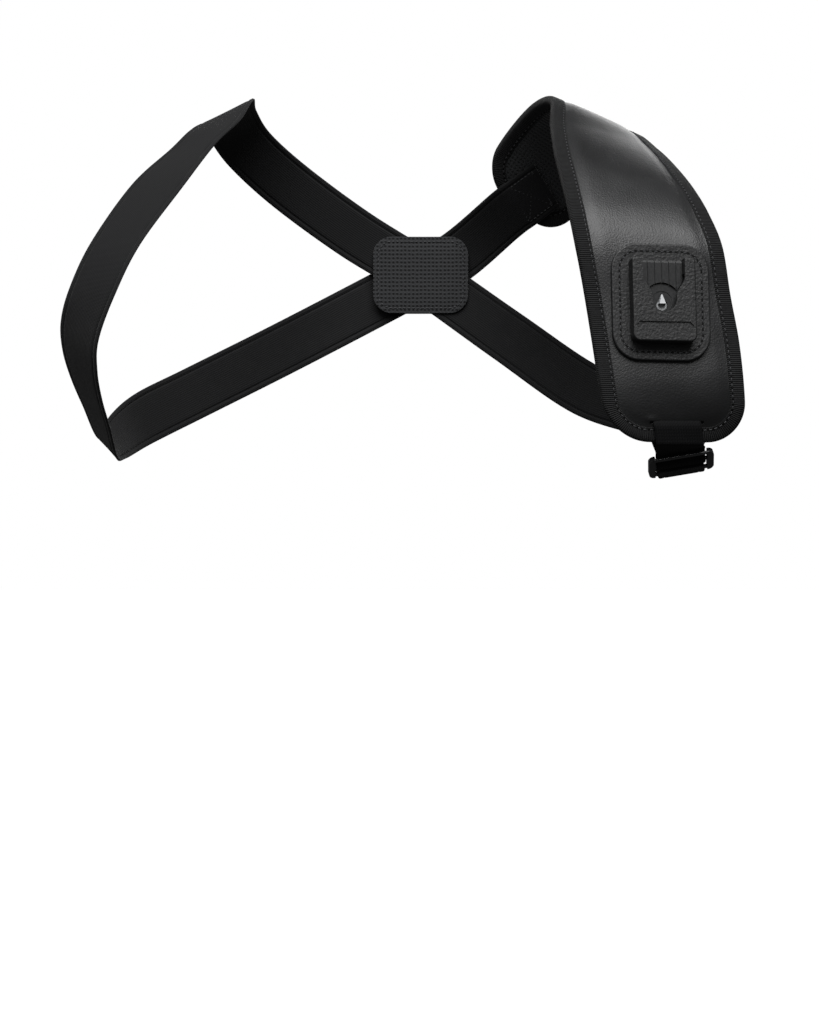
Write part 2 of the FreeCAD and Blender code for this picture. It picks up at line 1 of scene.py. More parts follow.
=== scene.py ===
import bpy
import bmesh
import math
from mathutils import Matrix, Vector


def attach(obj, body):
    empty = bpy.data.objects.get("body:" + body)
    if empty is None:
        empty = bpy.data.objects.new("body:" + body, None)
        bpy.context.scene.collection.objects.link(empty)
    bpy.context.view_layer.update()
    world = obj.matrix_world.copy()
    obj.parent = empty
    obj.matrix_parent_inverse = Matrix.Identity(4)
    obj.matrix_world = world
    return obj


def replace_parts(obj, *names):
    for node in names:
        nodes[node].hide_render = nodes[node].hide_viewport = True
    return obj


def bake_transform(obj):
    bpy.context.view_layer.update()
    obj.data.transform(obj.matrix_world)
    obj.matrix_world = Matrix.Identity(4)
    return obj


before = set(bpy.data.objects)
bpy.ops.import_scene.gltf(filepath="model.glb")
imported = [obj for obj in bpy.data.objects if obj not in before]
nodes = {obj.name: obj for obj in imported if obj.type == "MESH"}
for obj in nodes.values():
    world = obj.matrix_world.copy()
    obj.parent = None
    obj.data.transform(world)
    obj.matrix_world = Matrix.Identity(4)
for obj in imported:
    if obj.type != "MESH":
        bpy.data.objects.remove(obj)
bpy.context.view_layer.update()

# Shoulder harness with a click-in device dock. Sizes are in millimetres and become metres in
# Skin.build. X to the wearer's left, -Y to the front, +Z up.
MM = 0.001
ORIGIN = Vector((124.5, 23.0, 201.5))   # the frame's origin in the torso's own frame

# Pad
LEATHER = 1.8
FOAM = 3.2
PAD_THICK = 5.8
PAD_CORNER_R = 25.0
BIND_THICK = 0.6
PAD_CROWN = 0.0006
PAD_PRESS = 0.75         # how far the binding's seam presses the pad's edge in on each face
PAD_PUFF = 0.35          # how far the leather stands proud between the seams

# Dock
DOCK_S = 85.4
TURN_DEG = -0.8
FLANGE_W = 60.5
FLANGE_H = 71.5
FLANGE_R = 16.5
GROOVE_IN = 4.9          # middle of the stitch groove, in from the flange's edge
GROOVE_N = 1.8
LATCH_Y = -2.3

# Webbing, slider and elastic
WEB_W = 30.0
WEB_T = 1.3
SLIT_S = 12.0
SLIT_W = 34.0
SLIT_LIP = 0.9           # how far the leather curls up at the slit's corner
MID_BAR_R = 1.3
MID_BAR_N = -0.9
LOW_BAR_R = 1.4
SLIDER_BAR = 6.5
ELASTIC_T = 1.6
END_W = 28.5
SLIDER_AT = Vector((169.9, -63.6, -10.3))
BAR_DIR = Vector((0.985, 0.07, 0.165))
DOWN_DIR = Vector((0.056, 0.753, -0.656))
ELASTIC_DIR = Vector((0.20, 0.90, 0.38))

# Stitches
# Places at this texture value get near black thread colour: painted shade in a needle hole.
HOLE_SHADE_V = -5.0            # texture place that marks a needle hole instead of thread
THREAD_R = 0.34
PITCH_BINDING = 3.4
PITCH_DOCK = 3.6
PITCH_STRAP = 2.8

# Edges of the pad's leather face, lower front end to rear end: neck side, arm side
PAD_EDGES = [
    ((126.0, -91.0, 2.0), (209.0, -67.0, 2.0)),
    ((120.5, -94.5, 31.5), (207.0, -77.0, 32.0)),
    ((116.0, -91.5, 61.5), (204.0, -75.5, 62.0)),
    ((111.5, -88.0, 90.5), (199.0, -72.0, 91.0)),
    ((106.5, -84.5, 119.0), (194.5, -68.5, 120.5)),
    ((103.0, -76.0, 140.5), (187.5, -55.0, 142.0)),
    ((99.5, -60.0, 161.0), (180.5, -34.0, 159.0)),
    ((96.0, -38.0, 183.0), (172.0, -7.0, 175.0)),
    ((95.0, -13.0, 203.0), (163.0, 22.0, 189.0)),
    ((96.0, 16.0, 221.5), (152.0, 55.0, 201.5)),
    ((84.5, 44.0, 221.0), (139.0, 80.0, 196.5)),
    ((68.0, 66.0, 204.0), (120.5, 97.0, 169.5)),
    ((51.0, 84.0, 178.0), (104.0, 109.0, 139.0)),
]

# Edges of the elastic where it rises from under the right arm to the pad's rear end, and where
# it goes on over the right shoulder and down to the left arm: neck side, arm side
RISING = [
    ((-92.3, 8.0, 219.3), (-125.5, 8.0, 202.4)),
    ((-99.0, -20.0, 203.0), (-132.0, -12.0, 196.0)),
    ((-113.5, -38.0, 186.0), (-142.5, -22.0, 184.0)),
    ((-131.6, -60.0, 158.2), (-164.6, -40.0, 160.7)),
    ((-156.2, -78.0, 121.6), (-188.0, -57.0, 124.0)),
    ((-170.6, -84.0, 91.7), (-201.0, -60.0, 95.5)),
    ((-181.6, -79.0, 63.3), (-206.9, -53.0, 75.6)),
    ((-183.3, -70.0, 44.4), (-206.8, -43.0, 59.0)),
    ((-181.8, -54.0, 26.9), (-203.4, -28.0, 43.1)),
    ((-178.7, -34.0, 10.3), (-198.1, -7.0, 26.6)),
    ((-176.5, -6.0, -7.0), (-190.5, 18.0, 6.5)),
    ((-174.0, 28.0, -6.5), (-185.5, 42.0, 21.0)),
    ((-160.0, 64.0, 4.0), (-171.0, 64.0, 36.0)),
    ((-125.0, 90.0, 23.0), (-141.0, 90.0, 53.0)),
    ((-67.0, 104.0, 53.0), (-83.0, 104.0, 83.0)),
    ((3.0, 112.0, 90.0), (-13.0, 112.0, 120.0)),
    ((44.0, 111.8, 112.0), (26.0, 112.0, 141.0)),
]
FALLING = [
    ((-92.0, 40.5, 216.0), (-123.5, 38.5, 200.0)),
    ((-84.0, 68.0, 204.0), (-111.0, 65.0, 183.0)),
    ((-60.5, 91.5, 184.5), (-83.5, 89.5, 159.0)),
    ((-21.0, 105.5, 156.5), (-41.0, 105.5, 129.0)),
    ((23.0, 109.5, 129.0), (3.0, 109.5, 102.0)),
    ((80.0, 104.5, 89.0), (60.0, 104.5, 61.0)),
    ((129.5, 89.5, 54.5), (111.5, 89.5, 24.5)),
    ((165.0, 59.0, 40.5), (154.0, 61.0, 8.5)),
    ((188.5, 22.5, 29.5), (177.5, 22.5, -2.5)),
    ((196.0, -9.5, 14.0), (175.5, -11.5, -11.0)),
]

# Leather patches where the back straps cross: upper and lower edge of each outer face
OUTER_PATCH = [
    ((-18.0, 113.0, 140.5), (-18.0, 113.0, 90.5)),
    ((2.0, 114.8, 140.5), (2.0, 114.8, 90.5)),
    ((24.0, 114.4, 140.5), (24.0, 114.4, 90.5)),
    ((44.0, 114.1, 140.5), (44.0, 114.1, 90.5)),
]
INNER_PATCH = [
    ((-18.0, 103.8, 140.5), (-18.0, 103.8, 90.5)),
    ((2.0, 105.4, 140.5), (2.0, 105.4, 90.5)),
    ((24.0, 105.6, 140.5), (24.0, 105.6, 90.5)),
    ((44.0, 104.1, 140.5), (44.0, 104.1, 90.5)),
]


# ---------------------------------------------------------------- camera
LONG_SIDE = 36.0
LENS = 117.2


def make_camera():
    data = bpy.data.cameras.new("camera")
    data.sensor_width = LONG_SIDE
    data.lens = LENS
    data.clip_end = 50.0
    camera = bpy.data.objects.new("camera", data)
    camera.location = (Vector((5.7, -2080.0, -40.0)) - ORIGIN) * MM
    camera.rotation_euler = (math.radians(90.0), 0.0, 0.0)
    bpy.context.scene.collection.objects.link(camera)
    bpy.context.scene.camera = camera


make_camera()


# ---------------------------------------------------------------- curves and surfaces
def smooth(x, low, high):
    """0 below low, 1 above high, smooth between."""
    f = min(max((x - low) / (high - low), 0.0), 1.0)
    return f * f * (3.0 - 2.0 * f)


def blend_points(p, f):
    """Smooth curve between the middle two of four points."""
    a = p[1] * 2.0
    b = (p[2] - p[0]) * f
    c = (p[0] * 2.0 - p[1] * 5.0 + p[2] * 4.0 - p[3]) * (f * f)
    d = (p[1] * 3.0 - p[0] - p[2] * 3.0 + p[3]) * (f * f * f)
    return (a + b + c + d) * 0.5


def on_curve(points, t):
    n = len(points)
    i = min(max(int(t), 0), n - 2)
    before = points[i - 1] if i > 0 else points[0] * 2.0 - points[1]
    after = points[i + 2] if i + 2 < n else points[-1] * 2.0 - points[-2]
    return blend_points([before, points[i], points[i + 1], after], t - i)


class Strip:
    """A band of soft material given by the two edges of its outer face."""

    FINE = 20

    def __init__(self, edges, crown=0.0):
        self.left = [Vector(e[0]) for e in edges]
        self.right = [Vector(e[1]) for e in edges]
        self.crown = crown
        self.marks = [0.0]
        last = self.middle(0.0)
        for i in range(1, (len(edges) - 1) * self.FINE + 1):
            here = self.middle(i / self.FINE)
            self.marks.append(self.marks[-1] + (here - last).length)
            last = here
        self.length = self.marks[-1]

    def middle(self, t):
        return (on_curve(self.left, t) + on_curve(self.right, t)) * 0.5

    def t_at(self, s):
        if s <= 0.0:
            return 0.0
        for i in range(1, len(self.marks)):
            if s <= self.marks[i]:
                f = (s - self.marks[i - 1]) / (self.marks[i] - self.marks[i - 1])
                return (i - 1 + f) / self.FINE
        return float(len(self.left) - 1)

    def frame(self, s):
        """Centre, across, along, outward and half width at a distance from the start."""
        t = self.t_at(s)
        low = max(t - 0.02, 0.0)
        high = min(t + 0.02, len(self.left) - 1.0)
        along = (self.middle(high) - self.middle(low)).normalized()
        left = on_curve(self.left, t)
        right = on_curve(self.right, t)
        across = (right - left).normalized()
        out = across.cross(along).normalized()
        over = min(s, 0.0) + max(s - self.length, 0.0)
        centre = (left + right) * 0.5 + along * over
        return centre, across, along, out, (right - left).length * 0.5

    def cup(self, s):
        return self.crown * smooth(s, 150.0, 195.0)

    def point(self, s, u, n):
        centre, across, along, out, half = self.frame(s)
        return centre + across * u + out * (n + self.cup(s) * (half * half - u * u))

    def row(self, s, places):
        """Points of one cross section; places are offsets across and outward."""
        centre, across, along, out, half = self.frame(s)
        cup = self.cup(s)
        return [centre + across * u + out * (n + cup * (half * half - u * u)) for u, n in places]


def stops(start, end, step):
    count = max(int(round(abs(end - start) / step)), 1)
    return [start + (end - start) * i / count for i in range(count + 1)]


class Skin:
    """Collects rings of points, in millimetres, into one mesh with texture places in metres."""

    def __init__(self):
        self.points = []
        self.faces = []
        self.places = []

    def tube(self, rings, places, closed=False, caps=True):
        """Skins closed rings of equal length. The second half of a ring lies under the first."""
        n = len(rings[0])
        base = len(self.points)
        for ring in rings:
            self.points.extend(ring)
        for i in range(len(rings) if closed else len(rings) - 1):
            k = (i + 1) % len(rings)
            for j in range(n):
                m = (j + 1) % n
                near, far = base + i * n, base + k * n
                self.faces.append([near + j, near + m, far + m, far + j])
                self.places.append([places[i][j], places[i][m], places[i + 1][m], places[i + 1][j]])
        if not closed and caps:
            self.cap(base, n, places[0], False)
            self.cap(base + (len(rings) - 1) * n, n, places[-1], True)

    def cap(self, base, n, places, turned):
        for j in range(n // 2 - 1):
            ring = [j, n - 1 - j, n - 2 - j, j + 1]
            if turned:
                ring.reverse()
            self.faces.append([base + q for q in ring])
            self.places.append([places[q] for q in ring])

    def build(self, name, look, sharp=50.0):
        mesh = bpy.data.meshes.new(name)
        mesh.from_pydata([(p - ORIGIN) * MM for p in self.points], [], self.faces)
        layer = mesh.uv_layers.new(name="places")
        flat = [c * MM for face in self.places for place in face for c in place]
        layer.data.foreach_set("uv", flat)
        work = bmesh.new()
        work.from_mesh(mesh)
        bmesh.ops.recalc_face_normals(work, faces=work.faces)
        work.to_mesh(mesh)
        work.free()
        mesh.polygons.foreach_set("use_smooth", [True] * len(mesh.polygons))
        mesh.set_sharp_from_angle(angle=math.radians(sharp))
        mesh.materials.append(look)
        piece = bpy.data.objects.new(name, mesh)
        bpy.context.scene.collection.objects.link(piece)
        return piece


# ---------------------------------------------------------------- materials
class Look:
    """A material of one Principled shader, built node by node."""

    def __init__(self, name, roughness, **sockets):
        self.material = bpy.data.materials.new(name)
        self.material.use_nodes = True
        self.tree = self.material.node_tree
        self.shader = self.tree.nodes["Principled BSDF"]
        self.shader.inputs["Roughness"].default_value = roughness
        for socket, value in sockets.items():
            self.shader.inputs[socket.replace("_", " ")].default_value = value
        self.height = None

    def node(self, kind, links=(), **values):
        """Adds a node; links are (socket, source), values set its sockets or properties."""
        made = self.tree.nodes.new(kind)
        for key, value in values.items():
            if hasattr(made, key):
                setattr(made, key, value)
            else:
                made.inputs[key].default_value = value
        for socket, source in links:
            self.tree.links.new(source, made.inputs[socket])
        return made.outputs

    def solid_place(self):
        return self.node("ShaderNodeTexCoord")["Object"]

    def flat_place(self):
        return self.node("ShaderNodeUVMap", uv_map="places")["UV"]

    def noise(self, place, size, detail=3.0):
        """Soft noise whose blobs are about size metres across."""
        return self.node("ShaderNodeTexNoise", [("Vector", place)], Scale=1.0 / size, Detail=detail)["Fac"]

    def cells(self, place, size, kind="F1", output="Distance", **values):
        out = self.node("ShaderNodeTexVoronoi", [("Vector", place)], feature=kind, Scale=1.0 / size, **values)
        return out[output]

    def ribs(self, place, pitch, direction="X"):
        """Rounded ribs one pitch apart, in metres."""
        out = self.node("ShaderNodeTexWave", [("Vector", place)], bands_direction=direction,
                        Scale=math.pi / (10.0 * pitch), Distortion=0.0)
        return out["Fac"]

    def math(self, operation, a, b=None, value=None):
        links = [(0, a)] + ([(1, b)] if b is not None else [])
        made = self.tree.nodes.new("ShaderNodeMath")
        made.operation = operation
        for socket, source in links:
            self.tree.links.new(source, made.inputs[socket])
        if value is not None:
            made.inputs[1].default_value = value
        return made.outputs["Value"]

    def ramp(self, source, low, high, low_value, high_value):
        """Linear map of source, kept between the two values."""
        out = self.node("ShaderNodeMapRange", [("Value", source)], **{
            "From Min": low, "From Max": high, "To Min": low_value, "To Max": high_value})
        return out["Result"]

    def colour(self, source, dark, light, low=0.35, high=0.65):
        """Base colour between two shades by source."""
        made = self.tree.nodes.new("ShaderNodeValToRGB")
        made.color_ramp.elements[0].position = low
        made.color_ramp.elements[0].color = (*dark, 1.0)
        made.color_ramp.elements[1].position = high
        made.color_ramp.elements[1].color = (*light, 1.0)
        self.tree.links.new(source, made.inputs["Fac"])
        self.tree.links.new(made.outputs["Color"], self.shader.inputs["Base Color"])

    def roughness(self, source, low_value, high_value, low=0.3, high=0.7):
        value = self.ramp(source, low, high, low_value, high_value)
        self.tree.links.new(value, self.shader.inputs["Roughness"])

    def bump(self, source, depth, strength=1.0):
        """Adds a bump of depth metres over the ones already there."""
        links = [("Height", source)] + ([("Normal", self.height)] if self.height else [])
        self.height = self.node("ShaderNodeBump", links, Distance=depth, Strength=strength)["Normal"]
        self.tree.links.new(self.height, self.shader.inputs["Normal"])


def leather_look():
    look = Look("leather", 0.42, Specular_IOR_Level=0.5, Coat_Weight=0.03, Coat_Roughness=0.3)
    place = look.solid_place()
    grain = look.cells(place, 0.0010, "SMOOTH_F1", Smoothness=0.5)
    fine = look.noise(place, 0.0006, 3.0)
    broad = look.noise(place, 0.03, 4.0)
    look.colour(broad, (0.0055, 0.0057, 0.0061), (0.0092, 0.0094, 0.0100))
    look.roughness(broad, 0.41, 0.50)
    look.bump(broad, 0.0012, 0.25)
    look.bump(grain, 0.00030, 0.42)
    look.bump(fine, 0.00016, 0.40)
    return look.material


def patch_look():
    look = Look("patch_leather", 0.5, Specular_IOR_Level=0.45)
    place = look.solid_place()
    look.colour(look.noise(place, 0.012, 4.0), (0.011, 0.0115, 0.012), (0.019, 0.0195, 0.0205))
    look.roughness(look.noise(place, 0.006), 0.44, 0.58)
    look.bump(look.cells(place, 0.0013, "SMOOTH_F1", Smoothness=0.5), 0.00035, 0.45)
    look.bump(look.noise(place, 0.0005), 0.0001, 0.3)
    return look.material


def foam_look():
    look = Look("foam", 0.9, Specular_IOR_Level=0.2)
    place = look.solid_place()
    look.colour(look.noise(place, 0.003), (0.03, 0.03, 0.032), (0.05, 0.05, 0.052))
    look.bump(look.cells(place, 0.0007), 0.0003, 0.8)
    return look.material


def mesh_lining_look():
    """Spacer fabric: a knit with rows of small round holes, coloured darker inside them as painted shade."""
    look = Look("lining", 0.85, Specular_IOR_Level=0.25, Sheen_Weight=0.25, Sheen_Roughness=0.5)
    place = look.flat_place()
    holes = look.cells(place, 0.0026, "F1", Randomness=0.12)
    yarn = look.ribs(place, 0.0006, "Y")
    # Painted shade: the holes take the dark colour, the yarn between them the lighter one.
    look.colour(holes, (0.006, 0.006, 0.0065), (0.026, 0.027, 0.029), 0.12, 0.42)
    look.bump(look.ramp(holes, 0.1, 0.45, 0.0, 1.0), 0.0007, 0.9)
    look.bump(yarn, 0.00012, 0.5)
    return look.material


def binding_look():
    """Grosgrain tape: fine ribs across its length with a flat selvedge. Its colour is painted shade in the
    hollows between the ribs, lighter on their crowns, over an uneven tone.
    """
    look = Look("binding", 0.75, Specular_IOR_Level=0.25, Sheen_Weight=0.08, Sheen_Roughness=0.4)
    place = look.flat_place()
    ribs = look.ribs(place, 0.0012, "X")
    threads = look.ribs(place, 0.0005, "Y")
    uneven = look.noise(look.solid_place(), 0.004)
    # Painted shade: darker in the hollows between the ribs, lighter on their crowns, times an uneven random
    # tone.
    shade = look.math("MULTIPLY", ribs, uneven)
    look.colour(shade, (0.0015, 0.0015, 0.0017), (0.0125, 0.0128, 0.0136), 0.10, 0.62)
    look.bump(uneven, 0.0006, 0.4)
    look.bump(ribs, 0.0005, 1.0)
    look.bump(threads, 0.00008, 0.5)
    return look.material


def webbing_look():
    """Flat nylon webbing: pairs of lengthwise ribs crossed by tight picks, coloured with painted shade in the
    weave's hollows over an uneven tone.
    """
    look = Look("webbing", 0.8, Specular_IOR_Level=0.12, Sheen_Weight=0.03, Sheen_Roughness=0.4)
    place = look.flat_place()
    warp = look.ribs(place, 0.0016, "Y")
    weft = look.ribs(place, 0.0009, "X")
    twill = look.ribs(place, 0.0010, "DIAGONAL")
    weave = look.math("ADD", look.math("MULTIPLY", warp, weft), look.math("MULTIPLY", twill, value=0.35))
    uneven = look.noise(look.solid_place(), 0.005)
    # Painted shade: darker in the weave's hollows, lighter on its crowns, times an uneven random tone.
    shade = look.math("MULTIPLY", weave, uneven)
    look.colour(shade, (0.0022, 0.0022, 0.0025), (0.0075, 0.0077, 0.0082), 0.05, 0.8)
    look.bump(weave, 0.0002, 0.6)
    return look.material


def elastic_look():
    """Woven elastic: narrow rubber ribs along its length under a fine cross weave, coloured with painted
    shade in the weave's hollows over an uneven tone.
    """
    look = Look("elastic", 0.82, Specular_IOR_Level=0.25, Sheen_Weight=0.1, Sheen_Roughness=0.45)
    place = look.flat_place()
    cords = look.ribs(place, 0.0013, "Y")
    picks = look.ribs(place, 0.0008, "X")
    weave = look.math("ADD", look.math("MULTIPLY", cords, value=0.6), look.math("MULTIPLY", picks, value=0.5))
    uneven = look.noise(look.solid_place(), 0.006)
    # Painted shade: darker in the weave's hollows, lighter on its crowns, times an uneven random tone.
    shade = look.math("MULTIPLY", weave, uneven)
    look.colour(shade, (0.0035, 0.0035, 0.004), (0.0105, 0.0108, 0.0115), 0.05, 0.8)
    look.roughness(uneven, 0.76, 0.88)
    look.bump(weave, 0.00022, 0.75)
    return look.material


def dock_look():
    """Moulded plastic with a pebbled texture."""
    look = Look("dock_plastic", 0.5, Specular_IOR_Level=0.45)
    place = look.solid_place()
    pebble = look.noise(place, 0.0016, 2.5)
    fine = look.noise(place, 0.0005, 3.0)
    look.colour(look.noise(place, 0.01), (0.0062, 0.0064, 0.0068), (0.0095, 0.0097, 0.0102))
    look.roughness(fine, 0.42, 0.6)
    look.bump(pebble, 0.00060, 0.65)
    look.bump(fine, 0.00010, 0.4)
    return look.material


def smooth_plastic_look(name, shade, roughness, grain=0.15):
    look = Look(name, roughness, Specular_IOR_Level=0.5)
    place = look.solid_place()
    fine = look.noise(place, 0.0012, 3.0)
    dark = tuple(0.88 * c for c in shade)
    look.colour(look.noise(place, 0.008), dark, shade)
    look.roughness(fine, roughness * 0.85, roughness * 1.2)
    look.bump(fine, 0.00008, grain)
    return look.material


def steel_look():
    look = Look("spring_steel", 0.3, Metallic=1.0)
    place = look.solid_place()
    streaks = look.noise(place, 0.0006)
    look.colour(streaks, (0.42, 0.42, 0.43), (0.58, 0.58, 0.59))
    look.roughness(streaks, 0.24, 0.4)
    look.bump(streaks, 0.00002, 0.3)
    return look.material


def thread_look():
    look = Look("thread", 0.6, Specular_IOR_Level=0.12)
    place = look.flat_place()
    twist = look.ribs(place, 0.0005, "DIAGONAL")
    across = look.node("ShaderNodeSeparateXYZ", [("Vector", place)])["Y"]
    # yarn is 1 on the thread and 0 at the needle holes, which get near black painted shade.
    yarn = look.ramp(across, HOLE_SHADE_V * 0.6 * MM, HOLE_SHADE_V * 0.4 * MM, 0.0, 1.0)
    # Painted highlight on the twist's ridges, standing in for glints on black thread, and painted shade in
    # its grooves.
    shade = look.math("MULTIPLY", look.ramp(twist, 0.0, 1.0, 0.35, 1.0), yarn)
    look.colour(shade, (0.0015, 0.0015, 0.0015), (0.085, 0.086, 0.090), 0.0, 1.0)
    look.bump(twist, 0.0001, 0.7)
    return look.material


leather = leather_look()
patch_leather = patch_look()
lining = mesh_lining_look()
binding_tape = binding_look()
webbing = webbing_look()
elastic = elastic_look()
thread = thread_look()
foam = foam_look()
guide_plastic = smooth_plastic_look("guide_plastic", (0.010, 0.0103, 0.0108), 0.38)

for node, look in (
    ("dock_housing", dock_look()),
    ("dock_guide_plate", guide_plastic),
    ("latch_tooth", smooth_plastic_look("latch_plastic", (0.38, 0.39, 0.40), 0.40)),
    ("latch_cap", guide_plastic),
    ("slider", smooth_plastic_look("slider_plastic", (0.017, 0.0175, 0.0185), 0.27, 0.1)),
):
    for slot in nodes[node].material_slots:
        slot.material = look


# ---------------------------------------------------------------- pad
pad = Strip(PAD_EDGES, PAD_CROWN)


def pad_half(s, inset=0.0):
    """Half the pad's width at a distance along it, with its rounded corners."""
    half = pad.frame(s)[4] - inset
    radius = PAD_CORNER_R - inset
    left = min(s, pad.length - s) - inset
    if left >= radius:
        return half
    gap = radius - max(left, 0.0)
    return half - radius + math.sqrt(max(radius * radius - gap * gap, 0.0))


def edge_depth(s, u):
    """How far a place on the pad is in from the pad's outline."""
    a = pad.frame(s)[4] - abs(u)
    b = min(s, pad.length - s)
    if a < PAD_CORNER_R and b < PAD_CORNER_R:
        return PAD_CORNER_R - math.hypot(PAD_CORNER_R - a, PAD_CORNER_R - b)
    return min(a, b)


def dock_depth(s, u):
    """How far a place on the pad is outside the dock's flange, negative under it."""
    a = abs(u) - FLANGE_W / 2 + FLANGE_R
    b = abs(s - DOCK_S) - FLANGE_H / 2 + FLANGE_R
    outside = math.hypot(max(a, 0.0), max(b, 0.0))
    return outside + min(max(a, b), 0.0) - FLANGE_R


def leather_top(s, u):
    """Height of the leather over the pad's face: pressed by the seams, proud between them."""
    depth = edge_depth(s, u)
    seam = 1.0 - smooth(depth, 8.0, 17.0)
    puff = PAD_PUFF * smooth(depth, 9.0, 24.0) * smooth(dock_depth(s, u), 0.5, 14.0)
    lip = SLIT_LIP * math.exp(-((s - SLIT_S - 2.0) / 1.6) ** 2 - ((u + 16.0) / 3.0) ** 2)
    room = 1.0 - smooth(math.hypot(s - DOCK_S - LATCH_Y, u), 6.0, 9.0)   # under the pressed latch
    return puff - PAD_PRESS * seam + lip - (LEATHER - 0.1) * room


def lining_low(s, u):
    seam = 1.0 - smooth(edge_depth(s, u), 8.0, 15.0)
    return -PAD_THICK + 0.5 * seam


def end_rows(inset):
    """Distances along the pad, close together round its corners."""
    turn = PAD_CORNER_R - inset
    steps = 26
    curve = [inset + turn * (1.0 - math.cos(math.radians(90.0 * i / steps))) for i in range(steps)]
    middle = stops(inset + turn, pad.length - inset - turn, 2.5)
    return curve + middle + [pad.length - c for c in reversed(curve)]


def pad_sheet(name, look, inset, top, low, columns=72):
    """A layer of the pad between two heights given as functions of the place on it."""
    rings, places = [], []
    for s in end_rows(inset):
        half = pad_half(s, inset)
        across = [-half + 2.0 * half * j / columns for j in range(columns + 1)]
        upper = pad.row(s, [(u, top(s, u)) for u in across])
        lower = pad.row(s, [(u, low(s, u)) for u in across])
        rings.append(upper + lower[::-1])
        places.append([(s, u) for u in across] + [(s, u) for u in across[::-1]])
    skin = Skin()
    skin.tube(rings, places)
    return skin.build(name, look)


def outline():
    """Stations round the pad's edge: distance along, offset across, and the inward direction."""
    found = []
    radius = PAD_CORNER_R
    turns = 20

    def corner(top, side, turned):
        for i in range(1, turns):
            angle = math.radians(90.0 * i / turns)
            if turned:
                angle = math.pi / 2 - angle
            s = radius * (1.0 - math.cos(angle))
            s = pad.length - s if top else s
            u = side * (pad.frame(s)[4] - radius + radius * math.sin(angle))
            found.append((s, u, math.cos(angle) * (-1.0 if top else 1.0), -side * math.sin(angle)))

    def end(top, side, start, finish):
        s = pad.length if top else 0.0
        straight = pad.frame(s)[4] - radius
        for f in stops(start, finish, 0.08):
            found.append((s, side * f * straight, -1.0 if top else 1.0, 0.0))

    def flank(side, start, finish):
        for s in stops(start, finish, 2.0):
            found.append((s, side * pad.frame(s)[4], 0.0, -side))

    end(False, 1.0, -1.0, 1.0)
    corner(False, 1.0, False)
    flank(1.0, radius, pad.length - radius)
    corner(True, 1.0, True)
    end(True, 1.0, 1.0, -1.0)
    corner(True, -1.0, False)
    flank(-1.0, pad.length - radius, radius)
    corner(False, -1.0, True)
    return found


edge = outline()


def edge_point(station, depth, n):
    s, u, ds, du = station
    return pad.point(s + ds * depth, u + du * depth, n)


def binding():
    """Tape folded over the pad's edge."""
    face = -PAD_PRESS
    back = -PAD_THICK + 0.5
    outer = [(9.0, face + 0.12), (8.7, face + 0.5), (7.4, face + 0.34), (6.0, face + 0.6), (3.4, face + 0.66),
             (1.4, face + 0.6), (0.3, face + 0.3), (-0.4, face - 0.5), (-0.6, -2.9), (-0.4, back + 0.5),
             (0.3, back - 0.3), (1.4, back - 0.6), (3.4, back - 0.66), (6.0, back - 0.6), (7.4, back - 0.4),
             (8.7, back - 0.5), (9.0, back - 0.12)]
    inner = [(8.7, back + 0.05), (3.4, back + 0.05), (0.6, back + 0.3), (0.1, -2.9), (0.6, face - 0.3),
             (3.4, face - 0.05), (8.7, face - 0.05)]
    ring = outer + inner
    across = [0.0]
    for a, b in zip(ring, ring[1:]):
        across.append(across[-1] + math.hypot(b[0] - a[0], b[1] - a[1]))
    rings, places = [], []
    run = 0.0
    last = edge[0]
    for i, station in enumerate(edge + [edge[0]]):
        run += (edge_point(station, 4.0, 0.0) - edge_point(last, 4.0, 0.0)).length
        last = station
        if i < len(edge):
            ripple = 0.10 * math.sin(run * 0.9) + 0.08 * math.sin(run * 0.37 + 1.0)
            rings.append([edge_point(station, d, n + ripple * 0.5 * smooth(d, 1.0, 5.0)) for d, n in ring])
        places.append([(run, v) for v in across])
    skin = Skin()
    skin.tube(rings, places, closed=True)
    return skin.build("pad_edge_tape", binding_tape)


# ---------------------------------------------------------------- stitches
class Walk:
    """A line of points with the outward direction at each, to be walked by distance."""

    def __init__(self, stations):
        self.stations = stations
        self.marks = [0.0]
        for a, b in zip(stations, stations[1:]):
            self.marks.append(self.marks[-1] + (b[0] - a[0]).length)
        self.length = self.marks[-1]
        self.at = 0

    def point(self, s):
        s = min(max(s, 0.0), self.length)
        while self.at > 0 and self.marks[self.at] > s:
            self.at -= 1
        while self.at < len(self.marks) - 2 and self.marks[self.at + 1] < s:
            self.at += 1
        i = self.at
        f = (s - self.marks[i]) / max(self.marks[i + 1] - self.marks[i], 1e-6)
        a, b = self.stations[i], self.stations[i + 1]
        along = (b[0] - a[0]).normalized()
        return a[0].lerp(b[0], f), a[1].lerp(b[1], f).normalized(), along


def stitch(skin, walk, start, length, radius, lift):
    """One thread that comes up out of the cloth, lies on it and goes back in."""
    rings, places = [], []
    for i in range(7):
        f = i / 6.0
        centre, out, along = walk.point(start + length * f)
        side = along.cross(out).normalized()
        rise = lift * math.sin(math.pi * f) ** 0.6 - radius * 0.8
        thick = radius * (0.55 + 0.45 * math.sin(math.pi * f) ** 0.5)
        ring = []
        for j in range(8):
            angle = math.tau * j / 8.0
            ring.append(centre + out * (rise + thick * math.sin(angle)) + side * (thick * math.cos(angle)))
        rings.append(ring)
        places.append([(start + length * f, thick * j * 0.8) for j in range(8)])
    skin.tube(rings, places + places[-1:])


